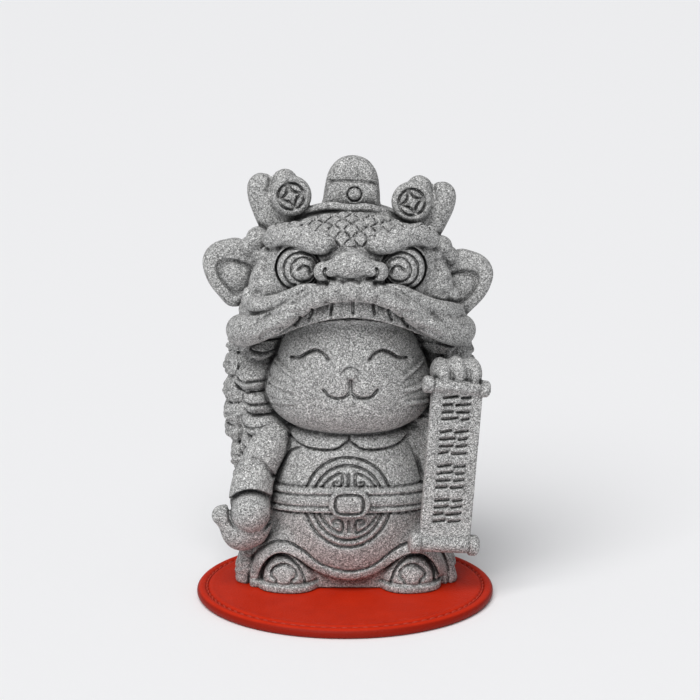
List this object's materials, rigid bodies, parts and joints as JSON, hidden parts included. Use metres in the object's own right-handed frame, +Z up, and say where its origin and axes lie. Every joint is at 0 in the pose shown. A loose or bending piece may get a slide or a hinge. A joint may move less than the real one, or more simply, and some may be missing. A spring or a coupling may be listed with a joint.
{
  "type": "lucky cat figurine",
  "caption": "Standing cat in a lion-head hat and layered cape, with an ingot in one paw and a hanging scroll under the other, on a round stitched leather pad.",
  "frame": {"origin": "centre of the pad's underside", "axes": "+Z up; the cat faces -Y; +X is towards the viewer's right, the cat's left, where the scroll is"},
  "size_m": [0.1, 0.1, 0.1478],
  "materials": {
    "stone": "speckled grey cast stone, matt and fine-grained",
    "leather": "red grained leather with a soft sheen",
    "thread": "red stitching thread"
  },
  "bodies": {
    "root": {"lion_dance_cat": "stone", "leather_pad": "leather", "pad_stitching": "thread"}
  },
  "joints": []
}
